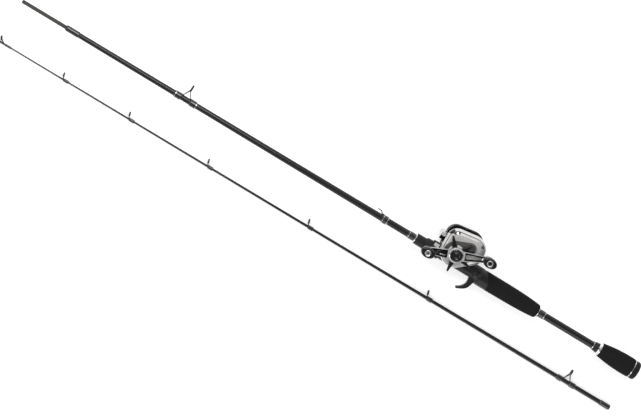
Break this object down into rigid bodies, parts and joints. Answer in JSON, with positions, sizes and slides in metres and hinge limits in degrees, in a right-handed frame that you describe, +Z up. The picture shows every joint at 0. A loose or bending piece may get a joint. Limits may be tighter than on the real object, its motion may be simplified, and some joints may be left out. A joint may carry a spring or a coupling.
{
  "type": "fishing rod and reel",
  "caption": "Two-section casting rod laid side by side, with line guides, foam grips, trigger reel seat and a geared low-profile casting reel with drag star, double handle and level wind.",
  "frame": {"origin": "on the butt section's axis, at the shoulder where the spigot leaves the blank", "axes": "+X along the rod towards the butt, +Y the side the guides and the reel stand on, +Z up from the surface it lies on"},
  "size_m": [1.0308, 0.1261, 0.0909],
  "materials": {
    "graphite": "dark varnished graphite",
    "bare_graphite": "unvarnished graphite",
    "thread_wrap": "black thread under clear varnish",
    "guide_steel": "dark plated steel wire",
    "guide_ring": "polished dark ceramic",
    "seat_plastic": "black semi-gloss moulding",
    "grip_foam": "matt black foam",
    "trim_metal": "bright silver",
    "reel_silver": "satin light silver",
    "reel_black": "satin black",
    "bright_alloy": "polished silver",
    "steel": "turned steel",
    "gear_brass": "cut brass"
  },
  "bodies": {
    "butt_section": {"ferrule_spigot": "bare_graphite", "butt_blank": "graphite", "butt_ferrule_wrap": "thread_wrap", "butt_guide_frame": "guide_steel", "butt_guide_insert": "guide_ring", "butt_guide_wraps": "thread_wrap", "hook_keeper": "guide_steel", "hook_keeper_wrap": "thread_wrap", "seat_front_wrap": "thread_wrap", "seat_winding_check": "trim_metal", "reel_seat": "seat_plastic", "main_grip": "grip_foam", "main_grip_ring": "trim_metal", "shaft_front_wrap": "thread_wrap", "rear_collar": "seat_plastic", "rear_grip_ring": "trim_metal", "rear_grip": "grip_foam", "butt_ring": "trim_metal", "butt_cap": "seat_plastic", "reel_frame": "reel_silver", "front_bar": "reel_silver", "gear_side_plate": "reel_silver", "star_collar": "bright_alloy", "palm_side_plate": "reel_black", "level_wind_bar": "steel", "roller_clutch": "steel", "spool_bearings": "steel", "plate_screws": "steel"},
    "hood": {"seat_hood": "seat_plastic"},
    "nut": {"lock_nut": "seat_plastic"},
    "handle": {"handle_arm": "bright_alloy", "drive_shaft": "steel", "drive_gear": "gear_brass", "drag_washers": "steel", "handle_nut": "steel", "handle_cap": "seat_plastic", "knob_posts": "steel"},
    "star": {"drag_star": "reel_black"},
    "front_handle_knob": {"front_knob": "reel_black", "front_knob_cap": "bright_alloy"},
    "rear_handle_knob": {"rear_knob": "reel_black", "rear_knob_cap": "bright_alloy"},
    "spool": {"spool": "bright_alloy", "spool_shaft": "steel", "pinion_gear": "gear_brass"},
    "worm": {"worm_shaft": "steel", "worm_gear": "gear_brass"},
    "line_guide": {"line_guide": "reel_black", "line_guide_eye": "guide_ring", "pawl_cap": "gear_brass"},
    "thumb_bar": {"thumb_bar": "reel_black"},
    "tension_knob": {"tension_knob": "reel_black"},
    "brake_dial": {"brake_dial": "reel_black"},
    "tip_section": {"tip_blank": "graphite", "tip_ferrule_wrap": "thread_wrap", "tip_single_guide_frames": "guide_steel", "tip_double_guide_frame": "guide_steel", "tip_guide_inserts": "guide_ring", "tip_guide_wraps": "thread_wrap", "tip_top": "guide_steel"}
  },
  "joints": [
    {"name": "nut_turn", "type": "hinge", "parent": "hood", "child": "nut", "pos_m": [0.6015, 0, 0], "axis": [1, 0, 0], "range_deg": [0, 2521]},
    {"name": "hood_slide", "type": "slide", "parent": "butt_section", "child": "hood", "axis": [-1, 0, 0], "range_m": [0, 0.014]},
    {"name": "handle_crank", "type": "hinge", "parent": "butt_section", "child": "handle", "pos_m": [0.638, 0.0155, 0], "axis": [0, 0, 1], "continuous": true},
    {"name": "spool_spin", "type": "hinge", "parent": "butt_section", "child": "spool", "pos_m": [0.6524, 0.0314, 0], "axis": [0, 0, 1], "continuous": true},
    {"name": "worm_turn", "type": "hinge", "parent": "butt_section", "child": "worm", "pos_m": [0.62411, 0.01871, 0], "axis": [0, 0, 1], "continuous": true},
    {"name": "star_turn", "type": "hinge", "parent": "handle", "child": "star", "pos_m": [0.638, 0.0155, 0], "axis": [0, 0, 1], "range_deg": [-360, 180]},
    {"name": "front_knob_spin", "type": "hinge", "parent": "handle", "child": "front_handle_knob", "pos_m": [0.59939, 0.00029, 0.051], "axis": [0, 0, 1], "continuous": true},
    {"name": "rear_knob_spin", "type": "hinge", "parent": "handle", "child": "rear_handle_knob", "pos_m": [0.68266, 0.03309, 0.051], "axis": [0, 0, 1], "continuous": true},
    {"name": "line_guide_slide", "type": "slide", "parent": "butt_section", "child": "line_guide", "axis": [0, 0, 1], "range_m": [-0.008, 0.008]},
    {"name": "thumb_bar_press", "type": "slide", "parent": "butt_section", "child": "thumb_bar", "axis": [0, -1, 0], "range_m": [0, 0.004]},
    {"name": "tension_turn", "type": "hinge", "parent": "butt_section", "child": "tension_knob", "pos_m": [0.6524, 0.0314, 0.032], "axis": [0, 0, 1], "range_deg": [-270, 270]},
    {"name": "brake_turn", "type": "hinge", "parent": "butt_section", "child": "brake_dial", "pos_m": [0.6524, 0.0314, -0.028], "axis": [0, 0, -1], "range_deg": [0, 300]},
    {"name": "tip_lift", "type": "slide", "parent": "butt_section", "child": "tip_section", "axis": [0, 0, 1], "range_m": [0, 0.2]}
  ],
  "couplings": [
    {"joint": "nut_turn", "follows": "hood_slide", "rad_per_m": 3141.6},
    {"joint": "spool_spin", "follows": "handle_crank", "ratio": -6.4},
    {"joint": "worm_turn", "follows": "handle_crank", "ratio": -2}
  ]
}
